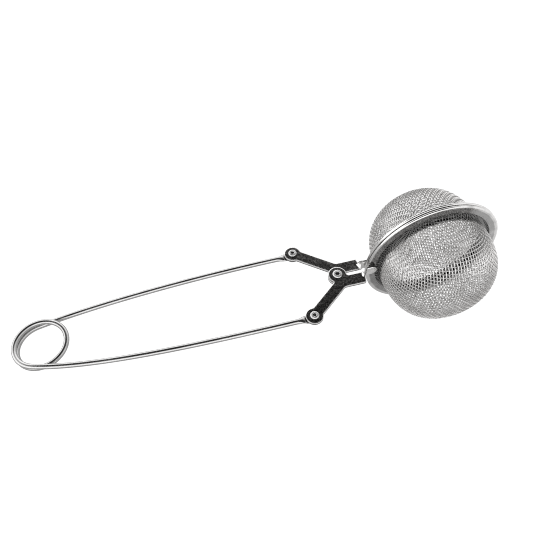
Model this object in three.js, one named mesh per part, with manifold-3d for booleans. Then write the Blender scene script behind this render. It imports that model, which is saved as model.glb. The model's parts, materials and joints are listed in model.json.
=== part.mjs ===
// Spring-handled mesh tea infuser: two woven bowls in pressed rim rings, carried by two riveted
// levers and opened by squeezing one looped spring-wire handle.
//
// Millimetres, +Z up. X runs along the handle from the finger loop to the ball, Y goes across it,
// and Z is the direction of the pivot. The half on -Y is the front one and the half on +Y the back
// one. They part at Y = 0. X = 0 is the middle of the whole length, and the rim rings stand on Z = 0.

import * as THREE from 'three';
import { mergeVertices } from 'three/addons/utils/BufferGeometryUtils.js';
import Module from 'manifold-3d';

const wasm = await Module();
wasm.setup();

// ---- driving dimensions -------------------------------------------------------------------------

// the ball
const RIM_RADIUS = 25;
const RIM_WIDTH = 3.4;
const RIM_THICKNESS = 1.05;
const RIM_EDGE_ROUND = 0.3;
const BOWL_RADIUS = 20.4;
const BOWL_DEPTH = 23.3;        // from the parting plane to the outside of the bowl's flat base
const BOWL_BASE_RADIUS = 4;
const BOWL_WALL = 0.6;
const BOWL_SQUARENESS = 0.78;   // 1 gives an elliptical bowl, less gives a squarer one
const SHOULDER_HEIGHT = 2.2;    // where the bowl's neck ends and its shoulder curve starts
const NECK_HEIGHT = 0.9;

// the levers, seen from the pivot: positive forward is towards the ball
const PIVOT_TO_BALL = 35.7;
const PIVOT_TO_LOOP = 106;
const EYE_BACK = 12.9;          // how far behind the pivot each arm rivet sits
const EYE_SIDE = 14.4;          // and how far out from the centre line
const LEVER_THICKNESS = 1.1;
const LEVER_ARM_WIDTH = 4.2;
const LEVER_EYE_RADIUS = 3.1;
const LEVER_BOSS_RADIUS = 3.3;
const LEVER_NOSE_INNER = 1.2;   // the forward strip's inner and outer edges, from the centre line
const LEVER_NOSE_OUTER = 5.7;
const LEVER_NOSE_END = 9.6;
const LEVER_KNEE = [0.4, 3.6];  // where the arm and the forward strip meet
const TAB_START = 7.8;          // the tab bent up from the lever's nose, which holds the rim ring
const TAB_END = 14;
const TAB_RISE = 3;             // how far the tab stands above its lever's upper face

// the rivets
const PIVOT_SHAFT_RADIUS = 1.2;
const PIVOT_HEAD_RADIUS = 1.9;
const ARM_SHAFT_RADIUS = 1;
const ARM_HEAD_RADIUS = 1.6;
const HEAD_THICKNESS = 0.55;
const RIVET_WALL = 0.5;         // the rivets are tubular

// the spring wire
const WIRE_RADIUS = 0.92;
const LOOP_RADIUS = 8.6;        // to the middle of the wire
const LOOP_PITCH = 2.3;         // rise of one turn
const LOOP_UNCOIL = 0.5;        // how far the loop opens out where it runs into the front arm
const ARM_SPLAY = 0.2;          // slope at which each arm leaves the loop
const ARM_BEND = 22;            // length over which that slope eases
const ARM_STRAIGHT = 32;        // length of the nearly straight end at the eye
const EYE_THICKNESS = 0.8;
const EYE_RADIUS = 2.7;
const EYE_NECK = 4;             // from the eye's centre to where the wire is round

// clearances
const PARTING_GAP = 0.15;       // from the parting plane to each rim ring
const SEAT_GAP = 0.3;           // between pieces that nest or rest on each other
const STACK_GAP = 0.15;         // between flat pieces stacked on a rivet
const OPEN_PIVOT_PLAY = 0.4;    // more room for the back arm's eye, which only follows its rivet

// ---- derived places -----------------------------------------------------------------------------

const FRONT = -1;
const BACK = 1;
const LOOP_REACH = PIVOT_TO_LOOP + LOOP_RADIUS + WIRE_RADIUS;
const PIVOT_X = (LOOP_REACH - PIVOT_TO_BALL - RIM_RADIUS) / 2;
const BALL_X = PIVOT_X + PIVOT_TO_BALL;
const LOOP_X = PIVOT_X - PIVOT_TO_LOOP;
const BALL_Z = RIM_RADIUS;
const BOWL_BASE_ANGLE = Math.acos((BOWL_BASE_RADIUS / BOWL_RADIUS) ** (1 / BOWL_SQUARENESS));

// the front lever lies on the back lever, and the tabs' common middle is level with the ball
const FRONT_LEVER_LOW = STACK_GAP / 2;
const BACK_LEVER_LOW = -STACK_GAP / 2 - LEVER_THICKNESS;
const TAB_MIDDLE = (FRONT_LEVER_LOW + BACK_LEVER_LOW + LEVER_THICKNESS + TAB_RISE) / 2;
const STACK_Z = BALL_Z - TAB_MIDDLE;
const FRONT_EYE_TOP = FRONT_LEVER_LOW - STACK_GAP;
const BACK_EYE_TOP = BACK_LEVER_LOW - STACK_GAP;

const LOOP_Z = STACK_Z + (FRONT_EYE_TOP + BACK_EYE_TOP - EYE_THICKNESS) / 2;
const SPLAY_ANGLE = Math.atan(ARM_SPLAY);
const LOOP_SWEEP = 3 * Math.PI - 2 * SPLAY_ANGLE;
const LOOP_RISE = LOOP_PITCH * LOOP_SWEEP / (2 * Math.PI);

// the loop opens out over the quarter turn from its far end to the front arm
const UNCOIL_SWEEP = Math.PI / 2 - SPLAY_ANGLE;
const UNCOILED_RADIUS = LOOP_RADIUS + LOOP_UNCOIL;
const UNCOILED_SLOPE = Math.atan(2 * LOOP_UNCOIL / (UNCOIL_SWEEP * UNCOILED_RADIUS));

const ROUND_SIDES = 24;
const RIM_SIDES = 56;
const BOWL_SIDES = 40;
const WIRE_SIDES = 10;

// ---- helpers ------------------------------------------------------------------------------------

/** A closed three.js geometry as a manifold-3d solid. */
function solidOf(geometry) {
  const bare = geometry.clone();
  bare.deleteAttribute('normal');
  bare.deleteAttribute('uv');
  const merged = mergeVertices(bare, 1e-4);
  return new wasm.Manifold(new wasm.Mesh({
    numProp: 3,
    vertProperties: new Float32Array(merged.attributes.position.array),
    triVerts: new Uint32Array(merged.index.array),
  }));
}

/** A manifold-3d solid as a three.js geometry. */
function geometryOf(solid) {
  const mesh = solid.getMesh();
  const geometry = new THREE.BufferGeometry();
  geometry.setAttribute('position', new THREE.BufferAttribute(mesh.vertProperties, 3));
  geometry.setIndex(new THREE.BufferAttribute(mesh.triVerts, 1));
  geometry.computeVertexNormals();
  return geometry;
}

/** An upright round bar from low to high, centred on x, y. */
function roundBar(x, y, radius, low, high) {
  const bar = new THREE.CylinderGeometry(radius, radius, high - low, ROUND_SIDES);
  bar.rotateX(Math.PI / 2);
  bar.translate(x, y, (low + high) / 2);
  return bar;
}

/** A flat outline in X and Y, given as corners, made into a plate from low to high. */
function plate(corners, low, high) {
  const outline = new THREE.Shape(corners.map(([x, y]) => new THREE.Vector2(x, y)));
  const geometry = new THREE.ExtrudeGeometry(outline, { depth: high - low, bevelEnabled: false });
  geometry.translate(0, 0, low);
  return geometry;
}

/** A straight strip of a plate between two points. */
function strip(start, end, width, low, high) {
  const along = new THREE.Vector2(end[0] - start[0], end[1] - start[1]).normalize();
  const side = [-along.y * width / 2, along.x * width / 2];
  return plate([
    [start[0] - side[0], start[1] - side[1]],
    [end[0] - side[0], end[1] - side[1]],
    [end[0] + side[0], end[1] + side[1]],
    [start[0] + side[0], start[1] + side[1]],
  ], low, high);
}

function joined(geometries) {
  return geometries.map(solidOf).reduce((whole, part) => whole.add(part));
}

function wireAlong(curve, steps) {
  const section = new THREE.Shape();
  section.absarc(0, 0, WIRE_RADIUS, 0, 2 * Math.PI);
  const points = section.getPoints(WIRE_SIDES).slice(0, WIRE_SIDES);
  return new THREE.ExtrudeGeometry(new THREE.Shape(points), {
    steps,
    bevelEnabled: false,
    extrudePath: curve,
  });
}

/** A lathe about the ball's axis, which runs along Y: height 0 is the parting plane. */
function turnedOnBall(profile, side, segments) {
  const points = profile.map(([radius, height]) => new THREE.Vector2(radius, height));
  const geometry = new THREE.LatheGeometry(points, segments);
  if (side === FRONT) {
    geometry.rotateX(Math.PI);
  }
  geometry.translate(BALL_X, 0, BALL_Z);
  return geometry;
}

// ---- the ball's halves --------------------------------------------------------------------------

/** The pressed rim: a flat ring with rounded edges, one on each side of the parting plane. */
function rimRing(side) {
  const inner = RIM_RADIUS - RIM_WIDTH;
  const low = PARTING_GAP;
  const high = PARTING_GAP + RIM_THICKNESS;
  const round = RIM_EDGE_ROUND;
  return turnedOnBall([
    [inner, low],
    [RIM_RADIUS - round, low],
    [RIM_RADIUS, low + round],
    [RIM_RADIUS, high - round],
    [RIM_RADIUS - round, high],
    [inner + round, high],
    [inner, high - round],
    [inner, low],
  ], side, RIM_SIDES);
}

/** Radius and height on the bowl's outside, from its shoulder (0) to the edge of its base (1). */
function bowlOutside(share) {
  const angle = share * BOWL_BASE_ANGLE;
  const rise = (Math.sin(angle) / Math.sin(BOWL_BASE_ANGLE)) ** BOWL_SQUARENESS;
  return [
    BOWL_RADIUS * Math.cos(angle) ** BOWL_SQUARENESS,
    SHOULDER_HEIGHT + (BOWL_DEPTH - SHOULDER_HEIGHT) * rise,
  ];
}

/** The woven bowl as one thin shell: a neck inside the rim, a shoulder and a small flat base. */
function meshBowl(side) {
  const steps = 9;
  const neckRadius = RIM_RADIUS - RIM_WIDTH - SEAT_GAP;
  const shoulder = Array.from({ length: steps + 1 }, (_, i) => bowlOutside(i / steps));
  const outside = [
    [neckRadius, PARTING_GAP],
    [neckRadius, NECK_HEIGHT],
    ...shoulder,
    [0, BOWL_DEPTH],
  ];
  const inwards = BOWL_DEPTH - BOWL_WALL;
  const inside = [
    [neckRadius - BOWL_WALL, PARTING_GAP],
    [neckRadius - BOWL_WALL, NECK_HEIGHT],
    ...shoulder.map(([radius, height]) => [
      radius * (BOWL_RADIUS - BOWL_WALL) / BOWL_RADIUS,
      height * inwards / BOWL_DEPTH,
    ]),
    [0, inwards],
  ];
  return turnedOnBall([...inside.reverse(), ...outside], side, BOWL_SIDES);
}

// ---- the levers ---------------------------------------------------------------------------------

/** The tab that stands on the lever's nose: a flat strip with a round end, parallel to the rim. */
function leverTab(side, low, high) {
  const radius = (high - low) / 2;
  const outline = new THREE.Shape();
  outline.moveTo(TAB_START, low);
  outline.lineTo(TAB_END - radius, low);
  outline.absarc(TAB_END - radius, low + radius, radius, -Math.PI / 2, Math.PI / 2);
  outline.lineTo(TAB_START, high);
  const tab = new THREE.ExtrudeGeometry(outline, {
    depth: LEVER_THICKNESS,
    bevelEnabled: false,
    curveSegments: ROUND_SIDES / 2,
  });
  tab.rotateX(Math.PI / 2);
  const innerFace = PARTING_GAP + RIM_THICKNESS + SEAT_GAP;
  tab.translate(0, side === FRONT ? -innerFace : innerFace + LEVER_THICKNESS, 0);
  return tab;
}

/** One stamped lever about the pivot: arm, boss, nose and tab, with its two rivet holes. */
function lever(side, low) {
  const high = low + LEVER_THICKNESS;
  const eye = [-EYE_BACK, side * EYE_SIDE];
  const knee = [LEVER_KNEE[0], side * LEVER_KNEE[1]];
  const noseWidth = LEVER_NOSE_OUTER - LEVER_NOSE_INNER;
  const noseMiddle = side * (LEVER_NOSE_OUTER + LEVER_NOSE_INNER) / 2;
  const body = joined([
    strip(eye, knee, LEVER_ARM_WIDTH, low, high),
    roundBar(knee[0], knee[1], LEVER_ARM_WIDTH / 2, low, high),
    strip([0, noseMiddle], [LEVER_NOSE_END, noseMiddle], noseWidth, low, high),
    roundBar(0, 0, LEVER_BOSS_RADIUS, low, high),
    roundBar(...eye, LEVER_EYE_RADIUS, low, high),
    leverTab(side, low, high + TAB_RISE),
  ]);
  const holes = joined([
    roundBar(0, 0, PIVOT_SHAFT_RADIUS + SEAT_GAP, low - 1, high + 1),
    roundBar(...eye, ARM_SHAFT_RADIUS + SEAT_GAP, low - 1, high + 1),
  ]);
  const geometry = geometryOf(body.subtract(holes));
  geometry.translate(PIVOT_X, 0, STACK_Z);
  return geometry;
}

// ---- the rivets ---------------------------------------------------------------------------------

/** A tubular rivet between the faces low and high of what it holds, with a rolled head on each. */
function rivet(x, y, shaftRadius, headRadius, low, high) {
  const bottom = low - STACK_GAP - HEAD_THICKNESS;
  const top = high + STACK_GAP + HEAD_THICKNESS;
  const bore = shaftRadius - RIVET_WALL;
  const roll = HEAD_THICKNESS / 2;
  const points = [
    [bore, bottom],
    [headRadius - roll, bottom],
    [headRadius, bottom + roll],
    [headRadius, bottom + HEAD_THICKNESS],
    [shaftRadius, bottom + HEAD_THICKNESS],
    [shaftRadius, top - HEAD_THICKNESS],
    [headRadius, top - HEAD_THICKNESS],
    [headRadius, top - roll],
    [headRadius - roll, top],
    [bore, top],
    [bore, bottom],
  ].map(([radius, height]) => new THREE.Vector2(radius, height));
  const geometry = new THREE.LatheGeometry(points, ROUND_SIDES);
  geometry.rotateX(Math.PI / 2);
  geometry.translate(PIVOT_X + x, y, STACK_Z);
  return geometry;
}

// ---- the spring-wire handle ---------------------------------------------------------------------

/** The finger loop's middle line: about one and a half turns, from the front arm to the back arm. */
class LoopCurve extends THREE.Curve {
  getPoint(t, target = new THREE.Vector3()) {
    const turned = t * LOOP_SWEEP;
    const angle = -Math.PI / 2 - SPLAY_ANGLE - turned;
    const radius = LOOP_RADIUS + LOOP_UNCOIL * Math.max(0, 1 - turned / UNCOIL_SWEEP) ** 2;
    return target.set(
      LOOP_X + radius * Math.cos(angle),
      radius * Math.sin(angle),
      LOOP_Z + LOOP_RISE * (0.5 - t),
    );
  }
}

/** The part of a loop or arm that is left after a small gap at each joint between the nodes. */
class TrimmedCurve extends THREE.Curve {
  constructor(whole, startGap, endGap) {
    super();
    this.whole = whole;
    this.from = startGap / whole.getLength();
    this.to = 1 - endGap / whole.getLength();
  }

  getPoint(t, target) {
    return this.whole.getPoint(THREE.MathUtils.lerp(this.from, this.to, t), target);
  }
}

/** An arm's middle line from the loop to its eye: it leaves on the loop's tangent and straightens. */
function armCurve(side, eyeTop) {
  const loopAngle = Math.PI / 2 + SPLAY_ANGLE;
  const radius = side === FRONT ? UNCOILED_RADIUS : LOOP_RADIUS;
  const slope = side === FRONT ? SPLAY_ANGLE + UNCOILED_SLOPE : SPLAY_ANGLE;
  const start = new THREE.Vector3(
    LOOP_X + radius * Math.cos(loopAngle),
    side * radius * Math.sin(loopAngle),
    LOOP_Z - side * LOOP_RISE / 2,
  );
  const wireZ = STACK_Z + eyeTop - EYE_THICKNESS / 2;
  const end = new THREE.Vector3(PIVOT_X - EYE_BACK - EYE_NECK, side * EYE_SIDE, wireZ);
  const leaving = new THREE.Vector3(Math.cos(slope), side * Math.sin(slope), 0);
  return new THREE.CubicBezierCurve3(
    start,
    start.clone().addScaledVector(leaving, ARM_BEND),
    end.clone().add(new THREE.Vector3(-ARM_STRAIGHT, 0, 0)),
    end,
  );
}

/** One arm of the handle: round wire that ends in a flattened eye under its lever. */
function handleArm(side, eyeTop, holeRadius) {
  const x = PIVOT_X - EYE_BACK;
  const y = side * EYE_SIDE;
  const top = STACK_Z + eyeTop;
  const low = top - EYE_THICKNESS;
  const neckEnd = x - EYE_NECK - 2 * WIRE_RADIUS;
  const arm = joined([
    wireAlong(new TrimmedCurve(armCurve(side, eyeTop), SEAT_GAP / 2, 0), 22),
    roundBar(x, y, EYE_RADIUS, low, top),
    strip([neckEnd, y], [x, y], 2 * WIRE_RADIUS, low, top),
  ]);
  return geometryOf(arm.subtract(solidOf(roundBar(x, y, holeRadius, low - 1, top + 1))));
}

function fingerLoop() {
  return wireAlong(new TrimmedCurve(new LoopCurve(), SEAT_GAP / 2, SEAT_GAP / 2), 56);
}

// ---- materials and assembly ---------------------------------------------------------------------

const polishedSteel = () => new THREE.MeshStandardMaterial({
  color: 0xc9c9c6,
  roughness: 0.22,
  metalness: 1,
});
const stampedSteel = () => new THREE.MeshStandardMaterial({
  color: 0x56544f,
  roughness: 0.38,
  metalness: 1,
});
const wovenSteel = () => new THREE.MeshStandardMaterial({
  color: 0xa2a19c,
  roughness: 0.35,
  metalness: 0.9,
});

const infuser = new THREE.Group();

function add(name, geometry, material) {
  const mesh = new THREE.Mesh(geometry, material);
  mesh.name = name;
  infuser.add(mesh);
}

add('front_rim_ring', rimRing(FRONT), polishedSteel());
add('back_rim_ring', rimRing(BACK), polishedSteel());
add('front_mesh_bowl', meshBowl(FRONT), wovenSteel());
add('back_mesh_bowl', meshBowl(BACK), wovenSteel());

add('front_lever', lever(FRONT, FRONT_LEVER_LOW), stampedSteel());
add('back_lever', lever(BACK, BACK_LEVER_LOW), stampedSteel());

const frontArmHole = ARM_SHAFT_RADIUS + SEAT_GAP;
const backArmHole = frontArmHole + OPEN_PIVOT_PLAY;
add('front_handle_arm', handleArm(FRONT, FRONT_EYE_TOP, frontArmHole), polishedSteel());
add('back_handle_arm', handleArm(BACK, BACK_EYE_TOP, backArmHole), polishedSteel());
add('finger_loop', fingerLoop(), polishedSteel());

add('pivot_rivet', rivet(
  0, 0, PIVOT_SHAFT_RADIUS, PIVOT_HEAD_RADIUS,
  BACK_LEVER_LOW, FRONT_LEVER_LOW + LEVER_THICKNESS,
), polishedSteel());
add('front_arm_rivet', rivet(
  -EYE_BACK, FRONT * EYE_SIDE, ARM_SHAFT_RADIUS, ARM_HEAD_RADIUS,
  FRONT_EYE_TOP - EYE_THICKNESS, FRONT_LEVER_LOW + LEVER_THICKNESS,
), polishedSteel());
add('back_arm_rivet', rivet(
  -EYE_BACK, BACK * EYE_SIDE, ARM_SHAFT_RADIUS, ARM_HEAD_RADIUS,
  BACK_EYE_TOP - EYE_THICKNESS, BACK_LEVER_LOW + LEVER_THICKNESS,
), polishedSteel());

export default infuser;
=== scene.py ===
"""Looks of the mesh-ball tea infuser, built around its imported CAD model.

The CAD model gives every place: joints, boxes and bodies. The pieces here stand for its plain solids
and add what those leave out: woven wire, folded rims, fillets, a twisted tab, rolled rivets and one
unbroken handle wire. Sizes are in millimetres, in the CAD frame, and MM turns them into metres.
"""

import json
import math

import bpy
import numpy as np
from mathutils import Matrix, Vector
from mathutils.geometry import tessellate_polygon


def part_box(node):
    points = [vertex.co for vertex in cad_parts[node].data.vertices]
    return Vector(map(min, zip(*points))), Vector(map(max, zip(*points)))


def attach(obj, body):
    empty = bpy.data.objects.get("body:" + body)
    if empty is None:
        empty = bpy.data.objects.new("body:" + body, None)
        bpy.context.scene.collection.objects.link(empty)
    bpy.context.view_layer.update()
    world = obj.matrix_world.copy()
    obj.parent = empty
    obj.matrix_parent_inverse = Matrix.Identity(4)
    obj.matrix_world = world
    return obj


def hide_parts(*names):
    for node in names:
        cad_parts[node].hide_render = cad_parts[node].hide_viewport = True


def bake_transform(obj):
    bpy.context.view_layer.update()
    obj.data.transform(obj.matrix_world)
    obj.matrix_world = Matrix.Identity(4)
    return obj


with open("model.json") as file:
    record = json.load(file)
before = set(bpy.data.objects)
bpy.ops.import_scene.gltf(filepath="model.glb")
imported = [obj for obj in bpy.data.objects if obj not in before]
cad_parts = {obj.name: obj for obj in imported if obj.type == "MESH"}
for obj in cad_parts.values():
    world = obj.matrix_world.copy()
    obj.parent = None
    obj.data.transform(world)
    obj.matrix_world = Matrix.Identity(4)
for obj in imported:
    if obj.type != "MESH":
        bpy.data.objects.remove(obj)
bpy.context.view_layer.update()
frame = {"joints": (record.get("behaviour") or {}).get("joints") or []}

MM = 0.001
FRONT = -1
BACK = 1


# ---- places that the CAD model gives -------------------------------------------------------------

joint_place = {j["name"]: Vector(j["pos_m"]) / MM for j in frame["joints"]}
PIVOT = joint_place["front_opening"]
LOOP = joint_place["loop_flex"]


def box_mm(node):
    """The lowest and highest corners of a CAD node."""
    low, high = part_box(node)
    return low / MM, high / MM


rim_low, rim_high = box_mm("front_rim_ring")
BALL = Vector(((rim_low.x + rim_high.x) / 2, 0, (rim_low.z + rim_high.z) / 2))
RIM_RADIUS = (rim_high.x - rim_low.x) / 2
RIM_INNER_FACE = -rim_high.y
RIM_OUTER_FACE = -rim_low.y
BOWL_DEPTH = -box_mm("front_mesh_bowl")[0].y


# ---- camera --------------------------------------------------------------------------------------

CAMERA_FROM_PIVOT = Vector((-43.8, -99.17, 151.84))
VIEW_CENTRE_FROM_PIVOT = Vector((-23.79, 11.01, 0))
CAMERA_ROLL = math.radians(-4.02)
LENS = 34.36
SENSOR = 36
CLIP_START = 0.01


def make_camera():
    data = bpy.data.cameras.new("camera")
    data.sensor_width = SENSOR
    data.lens = LENS
    data.clip_start = CLIP_START
    camera = bpy.data.objects.new("camera", data)
    bpy.context.scene.collection.objects.link(camera)
    place = (PIVOT + CAMERA_FROM_PIVOT) * MM
    ahead = (PIVOT + VIEW_CENTRE_FROM_PIVOT) * MM - place
    aim = ahead.to_track_quat("-Z", "Y").to_matrix().to_4x4()
    camera.matrix_world = Matrix.Translation(place) @ aim @ Matrix.Rotation(CAMERA_ROLL, 4, "Z")
    bpy.context.scene.camera = camera


make_camera()


# ---- mesh helpers --------------------------------------------------------------------------------

def mesh_piece(name, points, faces, smooth=True, material_of_face=None):
    """A mesh object from points in millimetres."""
    mesh = bpy.data.meshes.new(name)
    mesh.from_pydata((np.asarray(points, float) * MM).tolist(), [], [list(f) for f in faces])
    mesh.polygons.foreach_set("use_smooth", [smooth] * len(mesh.polygons))
    if material_of_face is not None:
        mesh.polygons.foreach_set("material_index", material_of_face)
    mesh.update()
    piece = bpy.data.objects.new(name, mesh)
    bpy.context.scene.collection.objects.link(piece)
    return piece


def arc(centre, radius, start, end, steps):
    """Points of an arc in a plane, between two angles in degrees."""
    angles = np.radians(np.linspace(start, end, steps + 1))
    return [(centre[0] + radius * math.cos(a), centre[1] + radius * math.sin(a)) for a in angles]


def grid_faces(rows, columns, wrap_rows=False, wrap_columns=True):
    """Quads over points numbered row by row."""
    faces = []
    for i in range(rows if wrap_rows else rows - 1):
        for j in range(columns if wrap_columns else columns - 1):
            i2 = (i + 1) % rows
            j2 = (j + 1) % columns
            faces.append((i * columns + j, i * columns + j2, i2 * columns + j2, i2 * columns + j))
    return faces


# ---- woven bowls ---------------------------------------------------------------------------------

WARP_PITCH = 1.0
WEFT_PITCH = 1.2
WEAVE_WIRE_RADIUS = 0.17
WEAVE_THICKNESS = 2 * WEAVE_WIRE_RADIUS
WEAVE_SIDES = 6
BOWL_RADIUS = 20.4
BOWL_SQUARENESS = 0.78
SHOULDER_HEIGHT = 2.2
HEM_CURVE = 1.5
HEM_RADIUS = 22.5
DOME_STEPS = 400
HEM_STEPS = 20
MERIDIAN_STEPS = 600

# how the crossings of the cloth are solved for
SPARE_CROSSINGS = 3
SOLVER_STEPS = 12
SOLVED_WITHIN = 1e-6
LARGEST_MISS = 0.02
SLOPE_STEP = 1e-4
FLATTEST_SLOPE = 1e-9
LONGEST_MOVE = 0.4
LARGEST_TURN = 0.1
FEWEST_CROSSINGS = 4


def bowl_meridian():
    """Radius and height of the cloth's middle, from the pole to the hem inside the rim."""
    radius = BOWL_RADIUS - WEAVE_THICKNESS
    depth = BOWL_DEPTH - WEAVE_THICKNESS
    turn = np.radians(np.linspace(0, 90, DOME_STEPS))
    r = radius * np.sin(turn) ** BOWL_SQUARENESS
    h = SHOULDER_HEIGHT + (depth - SHOULDER_HEIGHT) * np.cos(turn) ** BOWL_SQUARENESS
    hem = arc((radius + HEM_CURVE, SHOULDER_HEIGHT), HEM_CURVE, 180, 270, HEM_STEPS)[1:]
    line = np.array(list(zip(r, h)) + hem + [(HEM_RADIUS, SHOULDER_HEIGHT - HEM_CURVE)])
    length = np.concatenate([[0], np.cumsum(np.linalg.norm(np.diff(line, axis=0), axis=1))])
    even = np.linspace(0, length[-1], MERIDIAN_STEPS)
    return even, np.interp(even, length, line[:, 0]), np.interp(even, length, line[:, 1])


def solve_crossing(place, left, below, s, a):
    """The crossing one pitch from each of two others, near s and a, or None if there isn't one.

    place turns a distance down the bowl and an angle round it into a point.
    """
    for _ in range(SOLVER_STEPS):
        here = place(s, a)
        miss = np.array([
            np.linalg.norm(here - left) - WARP_PITCH,
            np.linalg.norm(here - below) - WEFT_PITCH,
        ])
        if np.abs(miss).max() < SOLVED_WITHIN:
            break
        by_s = place(s + SLOPE_STEP, a)
        by_a = place(s, a + SLOPE_STEP)
        slope = np.array([
            [(np.linalg.norm(by_s - p) - np.linalg.norm(here - p)) / SLOPE_STEP,
             (np.linalg.norm(by_a - p) - np.linalg.norm(here - p)) / SLOPE_STEP]
            for p in (left, below)
        ])
        if abs(np.linalg.det(slope)) < FLATTEST_SLOPE:
            break
        change = np.linalg.solve(slope, miss)
        s -= np.clip(change[0], -LONGEST_MOVE, LONGEST_MOVE)
        a -= np.clip(change[1], -LARGEST_TURN, LARGEST_TURN)
    return None if np.abs(miss).max() > LARGEST_MISS else (s, a)


def cloth_quadrant(meridian):
    """Where the wires of a square cloth cross when it is drawn over the bowl without stretching.

    Returns the distance down the bowl and the angle round it for crossings i, j of one quadrant.
    """
    along, radii, heights = meridian
    reach = along[-1]
    count = int(reach / min(WARP_PITCH, WEFT_PITCH)) + SPARE_CROSSINGS
    down = np.full((count, count), np.nan)
    angle = np.zeros((count, count))

    def place(s, a):
        s = max(s, 0)
        over = max(s - reach, 0)
        r = np.interp(s, along, radii) + over
        return np.array([r * math.cos(a), r * math.sin(a), np.interp(s, along, heights)])

    down[:, 0] = np.arange(count) * WARP_PITCH
    down[0, :] = np.arange(count) * WEFT_PITCH
    angle[0, :] = math.pi / 2
    for i in range(1, count):
        for j in range(1, count):
            if np.isnan(down[i - 1, j]) or np.isnan(down[i, j - 1]):
                continue
            if i == 1 and j == 1:
                s = math.hypot(WARP_PITCH, WEFT_PITCH)
            else:
                s = down[i - 1, j] + down[i, j - 1] - down[i - 1, j - 1]
            if min(i, j) == 1:
                a = math.atan2(j * WEFT_PITCH, i * WARP_PITCH)
            else:
                a = angle[i - 1, j] + angle[i, j - 1] - angle[i - 1, j - 1]
            if s > reach + SPARE_CROSSINGS * WEFT_PITCH:
                continue
            left = place(down[i - 1, j], angle[i - 1, j])
            below = place(down[i, j - 1], angle[i, j - 1])
            solved = solve_crossing(place, left, below, s, a)
            if solved:
                down[i, j], angle[i, j] = solved
    return down, angle


def crossings_of_wire(down, angle, direction, fixed):
    """One wire's crossings from hem to hem: distance down, angle, and 1 over or -1 under."""
    count = down.shape[0]
    found = []
    for moving in range(-(count - 1), count):
        i, j = (fixed, moving) if direction == 0 else (moving, fixed)
        s = down[abs(i), abs(j)]
        if np.isnan(s):
            continue
        a = angle[abs(i), abs(j)]
        if i < 0:
            a = math.pi - a
        if j < 0:
            a = -a
        found.append((s, a, (-1) ** (i + j + direction)))
    s, a, side = (np.array(values) for values in zip(*found))
    return s, np.unwrap(a), side


def trimmed_at_hem(reach, s, a, side):
    """A wire's crossings on the bowl, with an end put in where the wire runs past the hem."""
    inside = np.nonzero(s <= reach)[0]
    if len(inside) < FEWEST_CROSSINGS:
        return None
    first, last = inside[0], inside[-1]
    kept = list(zip(s[first:last + 1], a[first:last + 1], side[first:last + 1]))
    for end, step in ((first, -1), (last, 1)):
        beyond = end + step
        if not 0 <= beyond < len(s):
            continue
        share = (reach - s[end]) / (s[beyond] - s[end])
        a_end = a[end] + share * (a[beyond] - a[end])
        kept.insert(0 if step < 0 else len(kept), (reach, a_end, 0))
    return tuple(np.array(values) for values in zip(*kept))


def wire_runs(meridian, down, angle):
    """Each wire of the cloth as (points, outward normals), once for each of its two directions."""
    along, radii, heights = meridian
    count = down.shape[0]
    slope_r = np.gradient(radii, along)
    slope_h = np.gradient(heights, along)

    def surface(s, a):
        r = np.interp(s, along, radii)
        dr = np.interp(s, along, slope_r)
        dh = np.interp(s, along, slope_h)
        c, q = np.cos(a), np.sin(a)
        point = np.stack([r * c, r * q, np.interp(s, along, heights)], axis=-1)
        normal = np.stack([-dh * c, -dh * q, dr], axis=-1)
        return point, normal / np.linalg.norm(normal, axis=-1, keepdims=True)

    runs = []
    for direction in (0, 1):
        runs_this_way = []
        for fixed in range(-(count - 1), count):
            wire = trimmed_at_hem(along[-1], *crossings_of_wire(down, angle, direction, fixed))
            if wire is None:
                continue
            s, a, side = wire
            point, normal = surface(s, a)
            runs_this_way.append((point + normal * side[:, None] * WEAVE_WIRE_RADIUS, normal))
        runs.append(runs_this_way)
    return runs


def tubes(runs, radius, sides):
    """Points and faces of round wires along runs of (points, normals)."""
    points, faces = [], []
    start = 0
    turn = np.arange(sides) * 2 * math.pi / sides
    for path, normal in runs:
        tangent = np.gradient(path, axis=0)
        tangent /= np.linalg.norm(tangent, axis=1, keepdims=True)
        across = np.cross(tangent, normal)
        across /= np.linalg.norm(across, axis=1, keepdims=True)
        out = np.cross(across, tangent)
        ring = (path[:, None, :]
                + radius * np.cos(turn)[None, :, None] * out[:, None, :]
                + radius * np.sin(turn)[None, :, None] * across[:, None, :])
        points.append(ring.reshape(-1, 3))
        rows = len(path)
        faces += [tuple(start + k for k in face) for face in grid_faces(rows, sides)]
        faces.append(tuple(start + k for k in reversed(range(sides))))
        faces.append(tuple(start + (rows - 1) * sides + k for k in range(sides)))
        start += rows * sides
    return np.concatenate(points), faces


def on_ball(points, side):
    """Points about a bowl's axis, with height from the parting plane, moved to their half."""
    points = np.asarray(points, float)
    return np.stack([
        BALL.x + points[:, 0],
        side * points[:, 2],
        BALL.z + points[:, 1],
    ], axis=1)


def turned(faces, side):
    """The faces wound for their half: the back half is a mirror image of the front one."""
    return faces if side == FRONT else [tuple(reversed(f)) for f in faces]


def make_bowls():
    meridian = bowl_meridian()
    down, angle = cloth_quadrant(meridian)
    warp, weft = wire_runs(meridian, down, angle)
    for direction, runs in (("warp", warp), ("weft", weft)):
        points, faces = tubes(runs, WEAVE_WIRE_RADIUS, WEAVE_SIDES)
        for side, half in ((FRONT, "front"), (BACK, "back")):
            placed = on_ball(points, side)
            piece = mesh_piece(f"{half}_cloth_{direction}", placed, turned(faces, side))
            piece.data.materials.append(material("cloth_steel"))
            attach(piece, f"{half}_half")
            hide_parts(f"{half}_mesh_bowl")


# ---- rim rings -----------------------------------------------------------------------------------

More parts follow.
